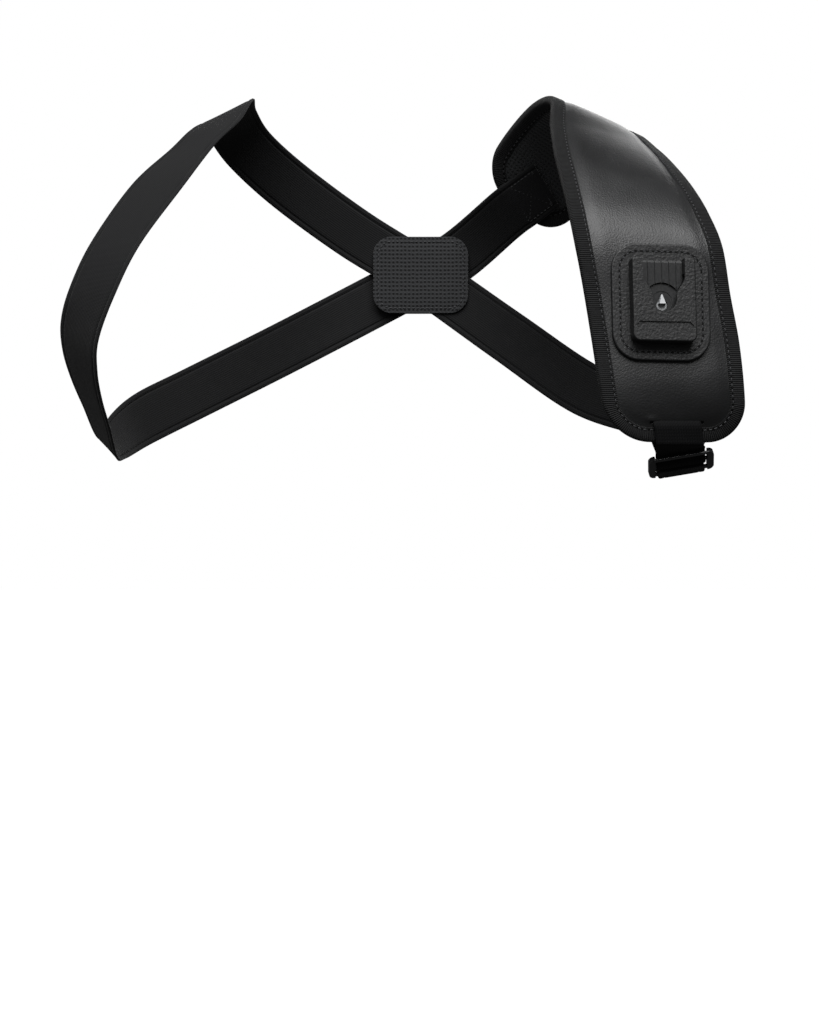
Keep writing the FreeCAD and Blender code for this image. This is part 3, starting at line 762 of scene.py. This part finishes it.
def needle_hole_shade(skin, walk, s, radius):
    """A dimple where two stitches go into the cloth, coloured near black as painted shade in the hole."""
    centre, out, along = walk.point(s)
    side = along.cross(out).normalized()
    rings = []
    for rise, share in ((-0.4, 1.0), (0.14, 1.0), (0.16, 0.7)):
        rings.append([centre + out * rise + side * (radius * share * math.cos(math.tau * j / 8.0))
                      + along * (1.25 * radius * share * math.sin(math.tau * j / 8.0)) for j in range(8)])
    skin.tube(rings, [[(s, HOLE_SHADE_V)] * 8] * 3)


def seam(name, stations, body, pitch=PITCH_STRAP, share=0.72, radius=THREAD_R, lift=THREAD_R, hole=0.0):
    """A row of stitches along a line of (point, outward) stations."""
    walk = Walk(stations)
    skin = Skin()
    for i in range(int(walk.length / pitch)):
        stitch(skin, walk, i * pitch + pitch * (1.0 - share) / 2, pitch * share, radius, lift)
        if hole:
            needle_hole_shade(skin, walk, (i + 0.04) * pitch, hole)
    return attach(skin.build(name, thread), body)


def pad_seam(name, depth, n, side, **options):
    """Stitches round the pad at a depth in from its edge; side is 1 on the face, -1 on the back."""
    stations = []
    for station in edge + [edge[0]]:
        stations.append((edge_point(station, depth, n), pad.frame(station[0])[3] * side))
    return seam(name, stations, "harness", **options)


def surface_seam(name, strip, corners, n, side, body="harness", **options):
    """Stitches between corners given as distance along and offset across on a strip."""
    stations = []
    for (s0, u0), (s1, u1) in zip(corners, corners[1:]):
        for f in stops(0.0, 1.0, 0.125):
            s = s0 + (s1 - s0) * f
            stations.append((strip.point(s, u0 + (u1 - u0) * f, n), strip.frame(s)[3] * side))
    return seam(name, stations, body, **options)


def make_pad():
    cover = pad_sheet("pad_cover", leather, 0.5, leather_top, lambda s, u: -LEATHER)
    cut_slit(cover)
    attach(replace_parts(cover, "pad_leather"), "harness")
    core = pad_sheet("pad_filling", foam, 0.8, lambda s, u: -LEATHER, lambda s, u: -LEATHER - FOAM, 16)
    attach(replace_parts(core, "pad_foam"), "harness")
    back = pad_sheet("pad_back_mesh", lining, 0.6, lambda s, u: -LEATHER - FOAM, lining_low)
    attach(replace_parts(back, "pad_lining"), "harness")
    tape = binding()
    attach(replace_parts(tape, "pad_binding"), "harness")
    pad_seam("binding_stitches_front", 7.4, -PAD_PRESS + 0.36, 1.0, pitch=PITCH_BINDING, hole=0.62)
    pad_seam("binding_stitches_back", 7.4, -PAD_THICK + 0.08, -1.0, pitch=PITCH_BINDING, hole=0.62)


def cut_slit(cover):
    """Opens the slit that the webbing comes out of."""
    cutter = Skin()
    rings = []
    half = SLIT_W / 2
    for s in (SLIT_S - 0.8, SLIT_S + 0.8):
        rings.append(pad.row(s, [(-half, 3.0), (half, 3.0), (half, -4.0), (-half, -4.0)]))
    cutter.tube(rings, [[(0.0, 0.0)] * 4] * 2)
    tool = cutter.build("slit_cutter", leather)
    cut = cover.modifiers.new("slit", "BOOLEAN")
    cut.operation = "DIFFERENCE"
    cut.object = tool
    cut.solver = "EXACT"
    settle(cover)
    bpy.data.objects.remove(tool)


def settle(piece):
    """Applies a piece's modifiers to its mesh."""
    shape = piece.evaluated_get(bpy.context.evaluated_depsgraph_get())
    mesh = bpy.data.meshes.new_from_object(shape)
    piece.modifiers.clear()
    piece.data = mesh


make_pad()


# ---------------------------------------------------------------- dock stitches and latch spring
def dock_frame():
    centre, across, along, out, half = pad.frame(DOCK_S)
    level = Vector((across.x, across.y, 0.0)).normalized()
    level = (level - out * level.dot(out)).normalized()
    upright = out.cross(level).normalized()
    turn = math.radians(TURN_DEG)
    x = level * math.cos(turn) + upright * math.sin(turn)
    y = upright * math.cos(turn) - level * math.sin(turn)
    return centre, x, y, out


def dock_stitches():
    centre, x, y, out = dock_frame()
    radius = FLANGE_R - GROOVE_IN
    a = FLANGE_W / 2 - GROOVE_IN - radius
    b = FLANGE_H / 2 - GROOVE_IN - radius
    stations = []
    for quarter, (sx, sy) in enumerate(((1, 1), (-1, 1), (-1, -1), (1, -1))):
        for i in range(13):
            angle = math.radians(90.0 * quarter + 7.5 * i)
            px = sx * a + radius * math.cos(angle)
            py = sy * b + radius * math.sin(angle)
            stations.append((centre + x * px + y * py + out * (GROOVE_N + 0.12), out))
    stations.append(stations[0])
    seam("dock_stitches", stations, "harness", pitch=PITCH_DOCK, share=0.66, radius=0.4, lift=0.34, hole=0.72)


def spring():
    """The latch's coil."""
    centre, x, y, out = dock_frame()
    middle = centre + y * LATCH_Y
    skin = Skin()
    rings, places = [], []
    for i in range(113):
        turn = math.radians(7.5 * i)
        reach = x * math.cos(turn) + y * math.sin(turn)
        wire = middle + reach * 3.4 + out * (-2.72 + 1.2 * turn / math.tau)
        rings.append([wire + reach * (0.3 * math.cos(math.tau * j / 8.0))
                      + out * (0.3 * math.sin(math.tau * j / 8.0)) for j in range(8)])
        places.append([(3.4 * turn, 0.24 * j) for j in range(8)])
    skin.tube(rings, places)
    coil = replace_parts(skin.build("latch_coil", steel_look()), "latch_spring")
    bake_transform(coil)


dock_stitches()
spring()


# ---------------------------------------------------------------- slider frame
bar = BAR_DIR.normalized()
down = (DOWN_DIR - bar * DOWN_DIR.dot(bar)).normalized()
face = down.cross(bar).normalized()


def slider_point(d, n):
    return SLIDER_AT + down * d + face * n


# ---------------------------------------------------------------- flat straps along a path
def resample(stations, step):
    """Evenly spaced (centre, across, outward) stations on a smooth curve."""
    columns = [[s[k] for s in stations] for k in range(3)]
    fine = []
    for i in range((len(stations) - 1) * 12 + 1):
        fine.append([on_curve(c, i / 12.0) for c in columns])
    marks = [0.0]
    for a, b in zip(fine, fine[1:]):
        marks.append(marks[-1] + (b[0] - a[0]).length)
    kept = []
    i = 0
    for s in stops(0.0, marks[-1], step):
        while i < len(marks) - 2 and marks[i + 1] < s:
            i += 1
        f = (s - marks[i]) / max(marks[i + 1] - marks[i], 1e-6)
        centre, across, out = [fine[i][k].lerp(fine[i + 1][k], min(f, 1.0)) for k in range(3)]
        across.normalize()
        out = (out - across * out.dot(across)).normalized()
        kept.append((s, centre, across, out))
    return kept


def strap_places(width, thick, hem=0.0, columns=22):
    """Closed section of a strap: rounded edges, and a groove beside each selvedge if it has one."""
    half = width / 2
    edge_u = [0.0, 0.25, 0.8, 2.2, 3.1, 3.6, 4.2]
    inner = stops(-half + 5.2, half - 5.2, (width - 10.4) / columns)
    across = [-half + u for u in edge_u] + inner + [half - u for u in reversed(edge_u)]

    def rise(u):
        depth = half - abs(u)
        round_off = 0.5 * thick * (1.0 - min(depth / 0.8, 1.0)) ** 2
        groove = hem * math.exp(-((depth - 3.6) / 0.45) ** 2)
        return thick / 2 - min(round_off, thick / 2 - 0.15) - groove

    top = [(u, rise(u)) for u in across]
    return top + [(u, -n) for u, n in reversed(top)]


def strap(skin, stations, width, thick, hem=0.0):
    section = strap_places(width, thick, hem)
    rings, places = [], []
    for s, centre, across, out in stations:
        rings.append([centre + across * u + out * n for u, n in section])
        places.append([(s, u) for u, n in section])
    skin.tube(rings, places)


def pad_station(s, n):
    centre, across, along, out, half = pad.frame(s)
    return centre + out * n, across, out


def slider_station(d, n):
    return slider_point(d, n), bar, face


def bend_stations(radius):
    """Stations round the middle bar from the front to the back."""
    found = []
    middle = slider_point(0.0, MID_BAR_N)
    for i in range(9):
        angle = math.radians(180.0 * i / 8.0)
        out = face * math.cos(angle) + down * math.sin(angle)
        found.append((middle + out * radius, bar, out))
    return found


def make_webbing():
    """One length of webbing: out of the slit, down round the slider's bar and up behind the pad."""
    turn = MID_BAR_R + 0.35 + WEB_T / 2
    front = [
        pad_station(SLIT_S + 20.0, -LEATHER - 0.9),
        pad_station(SLIT_S + 6.0, -LEATHER - 0.8),
        pad_station(SLIT_S + 2.2, -1.3),
        pad_station(SLIT_S - 0.6, 0.5),
        pad_station(9.2, 1.1),
        pad_station(6.0, 1.2),
        pad_station(1.0, 1.25),
        pad_station(-1.0, 1.2),
        pad_station(-2.4, -0.1),
        slider_station(-10.5, -0.6),
        slider_station(-6.5, -1.4),
        slider_station(-4.0, -0.1),
    ]
    back = [
        slider_station(-6.5, -3.2),
        slider_station(-9.5, -4.2),
        pad_station(0.0, -PAD_THICK - 2.0),
        pad_station(6.0, -PAD_THICK - 1.7),
        pad_station(14.0, -PAD_THICK - 1.1),
        pad_station(26.0, -PAD_THICK - WEB_T / 2 - 0.1),
        pad_station(44.0, -PAD_THICK - WEB_T / 2 - 0.1),
    ]
    flipped = [(c, a, -o) for c, a, o in back]
    stations = resample(front + bend_stations(turn) + flipped, 1.0)
    skin = Skin()
    strap(skin, stations, WEB_W, WEB_T, hem=0.12)
    piece = skin.build("webbing_loop", webbing)
    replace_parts(piece, "webbing_front", "webbing_bend", "webbing_back")
    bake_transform(piece)


make_webbing()
box = [(27.0, -12.5), (27.0, 12.5), (42.0, 12.5), (42.0, -12.5), (27.0, -12.5), (42.0, 12.5), (42.0, -12.5),
       (27.0, 12.5)]
surface_seam("webbing_box_stitch", pad, box, -PAD_THICK - WEB_T - 0.1, -1.0)


# ---------------------------------------------------------------- elastic
def tucked(q):
    """Edges of the rising strap where it lies under the pad's rear end, sewn at an angle."""
    lean = math.radians(22.0)
    u = -4.0 + q * math.sin(lean)
    s = pad.length - 2.0 - q * math.cos(lean)
    du = 17.0 * math.cos(lean)
    ds = 17.0 * math.sin(lean)
    n = -PAD_THICK - BIND_THICK - 0.5
    return pad.point(s + ds, u + du, n), pad.point(s - ds, u - du, n)


fold_at = slider_point(SLIDER_BAR, 0.0)
elastic_dir = (ELASTIC_DIR - bar * ELASTIC_DIR.dot(bar)).normalized()
end_out = (bar * -1.0).cross(elastic_dir).normalized()


def lead_rows():
    """Edges of the lead from under the left arm to the folded end, outer face outward."""
    line = Strip([(b, a) for a, b in FALLING])
    centre, across, along, out, half = line.frame(line.length)
    first = fold_at + elastic_dir * 22.0 + end_out * ELASTIC_T
    reach = (centre - first).length
    rows = []
    for f in (0.33, 0.67, 1.0):
        a = centre + along * (reach * f)
        b = first + elastic_dir * (reach * (1.0 - f))
        middle = a * (1.0 - f) + b * f
        side = (across * (1.0 - f) + bar * f).normalized() * (half * (1.0 - f) + END_W / 2 * f)
        rows.append((middle - side, middle + side))
    return rows


# One strap from the pad's rear end to the slider, its outer face on the outward side
rise_rows = RISING + [tucked(-10.0), tucked(6.0), tucked(26.0)]
chain = [(Vector(b), Vector(a)) for a, b in list(reversed(rise_rows)) + FALLING]
lead_from = len(chain) - 1
strap_line = Strip(chain + lead_rows())
lead_start = strap_line.marks[lead_from * Strip.FINE]


def elastic_piece(name, start, end):
    skin = Skin()
    rings, places = [], []
    for s in stops(start, end, 2.4):
        centre, across, along, out, half = strap_line.frame(s)
        section = strap_places(2.0 * half, ELASTIC_T, 0.6)
        wave = 0.18 * math.sin(s * 0.045) + 0.12 * math.sin(s * 0.11 + 0.7)
        ring = []
        for u, n in section:
            bow = wave * (1.0 - (u / half) ** 2)
            ring.append(centre + across * u + out * (n - ELASTIC_T / 2 + bow * 0.6))
        rings.append(ring)
        places.append([(s, u) for u, n in section])
    skin.tube(rings, places)
    return skin.build(name, elastic)


def make_elastic():
    long_strap = elastic_piece("elastic_strap", 0.0, lead_start)
    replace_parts(long_strap, "elastic_back_rising", "elastic_right_arm", "elastic_right_front",
                "elastic_right_shoulder", "elastic_back_falling", "elastic_left_arm")
    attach(long_strap, "harness")
    lead = elastic_piece("elastic_lead_strap", lead_start, strap_line.length)
    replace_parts(lead, "elastic_lead")
    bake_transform(lead)


def make_fold():
    """The elastic's end folded round the slider's lower bar and sewn back on itself."""
    turn = LOW_BAR_R + 0.1 + ELASTIC_T / 2

    def spot(along, out, normal):
        return fold_at + elastic_dir * along + end_out * out, bar, normal

    half_t = ELASTIC_T / 2
    stations = [spot(22.0, half_t, end_out), spot(15.0, half_t, end_out), spot(9.0, half_t + 0.1, end_out),
                spot(4.0, turn - 0.5, end_out)]
    for i in range(9):
        angle = math.radians(180.0 * i / 8.0)
        normal = end_out * math.cos(angle) - elastic_dir * math.sin(angle)
        stations.append(spot(-turn * math.sin(angle), turn * math.cos(angle), normal))
    stations += [spot(4.0, -turn + 0.5, -end_out), spot(9.0, -half_t - 0.1, -end_out),
                 spot(17.0, -half_t, -end_out)]
    skin = Skin()
    strap(skin, resample(stations, 1.0), END_W, ELASTIC_T, hem=0.25)
    fold = skin.build("elastic_fold", elastic)
    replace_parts(fold, "elastic_end")
    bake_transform(fold)
    for row, along in enumerate((11.0, 15.5)):
        stations = []
        for u in stops(-END_W / 2 + 2.0, END_W / 2 - 2.0, 3.0):
            stations.append((fold_at + elastic_dir * along + bar * u + end_out * ELASTIC_T, end_out))
        seam("fold_stitches_%d" % row, stations, "loop", pitch=2.4)


make_elastic()
make_fold()
under = -PAD_THICK - BIND_THICK - 0.5
tack = []
for q, v in ((2.0, -13.0), (2.0, 13.0), (22.0, 13.0), (22.0, -13.0),
             (2.0, -13.0), (22.0, 13.0), (22.0, -13.0), (2.0, 13.0)):
    lean = math.radians(22.0)
    tack.append((pad.length - 2.0 - q * math.cos(lean) + v * math.sin(lean),
                 -4.0 + q * math.sin(lean) + v * math.cos(lean)))
surface_seam("strap_box_stitch", pad, tack, under - ELASTIC_T - 0.02, -1.0)


# ---------------------------------------------------------------- patches where the straps cross
PATCH_R = 12.0


def patch(name, edges, thick, look):
    """A patch with rounded corners, a rolled edge and a dip along its seam."""
    strip = Strip(edges)
    rings, places = [], []
    turns = 12
    curve = [PATCH_R * (1.0 - math.cos(math.radians(90.0 * i / turns))) for i in range(turns)]
    rows = curve + stops(PATCH_R, strip.length - PATCH_R, 1.6) + [strip.length - c for c in reversed(curve)]
    for s in rows:
        half = strip.frame(s)[4]
        gap = max(PATCH_R - min(s, strip.length - s), 0.0)
        reach = half - PATCH_R + math.sqrt(max(PATCH_R ** 2 - gap ** 2, 0.0))
        top, low = [], []
        for j in range(37):
            u = -reach + 2.0 * reach * j / 36.0
            depth = patch_depth(strip, s, u, half)
            bead = 0.35 * (1.0 - smooth(depth, 0.0, 0.9))
            seam_dip = 0.3 * math.exp(-((depth - 3.2) / 0.9) ** 2)
            rise = 0.35 * smooth(depth, 3.0, 12.0)
            top.append((u, rise - bead - seam_dip))
            low.append((u, -thick + bead))
        rings.append(strip.row(s, top) + strip.row(s, low)[::-1])
        places.append([(s, u) for u, n in top] + [(s, u) for u, n in low[::-1]])
    skin = Skin()
    skin.tube(rings, places)
    return strip, skin.build(name, look)


def patch_depth(strip, s, u, half):
    a = half - abs(u)
    b = min(s, strip.length - s)
    if a < PATCH_R and b < PATCH_R:
        return PATCH_R - math.hypot(PATCH_R - a, PATCH_R - b)
    return min(a, b)


def patch_border(strip, half, depth):
    """Corners of a closed line a depth in from a patch's edge."""
    radius = PATCH_R - depth
    found = []
    for quarter, (ss, su) in enumerate(((1, 1), (0, 1), (0, -1), (1, -1))):
        s0 = strip.length - PATCH_R if ss else PATCH_R
        u0 = su * (half - PATCH_R)
        for i in range(7):
            angle = math.radians(90.0 * quarter + 15.0 * i)
            found.append((s0 + radius * math.cos(angle), u0 + radius * math.sin(angle)))
    return found + [found[0]]


def make_patches():
    for name, edges, thick, node, look, slot_name in (
        ("patch_outer", OUTER_PATCH, 1.6, "cross_patch_outer", patch_leather, "leather"),
        ("patch_inner", INNER_PATCH, 1.4, "cross_patch_inner", lining, "lining"),
    ):
        strip, piece = patch(name, edges, thick, look)
        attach(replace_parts(piece, node), "harness")
        out_side = strip.frame(strip.length / 2)[3].y
        side = 1.0 if name == "patch_outer" else -1.0
        n = 0.0 if (out_side > 0) == (side > 0) else -thick
        facing = side if out_side > 0 else -side
        border = patch_border(strip, 25.0, 3.2)
        surface_seam(name + "_stitches", strip, border, n - 0.05 * facing, facing, pitch=3.0)


make_patches()


# ---------------------------------------------------------------- studio
def area_light(name, at, towards, size, power):
    data = bpy.data.lights.new(name, "AREA")
    data.shape = "SQUARE"
    data.size = size
    data.energy = power
    lamp = bpy.data.objects.new(name, data)
    lamp.location = at
    lamp.rotation_euler = (Vector(towards) - Vector(at)).to_track_quat("-Z", "Y").to_euler()
    bpy.context.scene.collection.objects.link(lamp)


def make_floor():
    mesh = bpy.data.meshes.new("floor")
    reach = 14.0
    mesh.from_pydata([(-reach, -reach, FLOOR_Z), (reach, -reach, FLOOR_Z), (reach, reach, FLOOR_Z),
                      (-reach, reach, FLOOR_Z)], [], [(0, 1, 2, 3)])
    look = Look("floor", 0.9)
    look.colour(look.noise(look.solid_place(), 2.0), (0.92, 0.92, 0.92), (0.94, 0.94, 0.94))
    mesh.materials.append(look.material)
    floor = bpy.data.objects.new("floor", mesh)
    bpy.context.scene.collection.objects.link(floor)
    floor.visible_glossy = False     # keeps the pale floor out of the black parts' reflections
    floor.visible_diffuse = False


def make_world():
    """White where the camera sees it, and a dim soft fill for everything that it lights."""
    world = bpy.data.worlds.new("studio")
    world.use_nodes = True
    tree = world.node_tree
    background = tree.nodes["Background"]
    background.inputs["Color"].default_value = (1.0, 1.0, 1.0, 1.0)
    seen = tree.nodes.new("ShaderNodeLightPath")
    strength = tree.nodes.new("ShaderNodeMapRange")
    strength.inputs["To Min"].default_value = FILL
    strength.inputs["To Max"].default_value = 1.0
    tree.links.new(seen.outputs["Is Camera Ray"], strength.inputs["Value"])
    tree.links.new(strength.outputs["Result"], background.inputs["Strength"])
    bpy.context.scene.world = world


def make_overhead():
    """One very wide soft source above, as even on the floor as on the harness."""
    data = bpy.data.lights.new("overhead", "SUN")
    data.energy = OVERHEAD
    data.angle = math.radians(SUN_ANGLE)
    lamp = bpy.data.objects.new("overhead", data)
    lamp.rotation_euler = (math.radians(SUN_TILT), math.radians(SUN_LEAN), 0.0)
    bpy.context.scene.collection.objects.link(lamp)


FLOOR_Z = -0.62
FILL = 0.085
OVERHEAD = 4.3
SUN_ANGLE = 48.0         # how wide the overhead source looks, in degrees
SUN_TILT = 32.0          # how far it leans to the front
SUN_LEAN = 3.0           # and to the side
make_floor()
make_world()
make_overhead()
area_light("front_left", (-1.3, -2.2, 1.1), (0.0, 0.0, -0.1), 1.0, 9.0)
area_light("behind", (0.2, 1.9, 0.7), (0.0, 0.0, -0.05), 1.0, 12.0)
bpy.context.scene.view_settings.view_transform = "Standard"
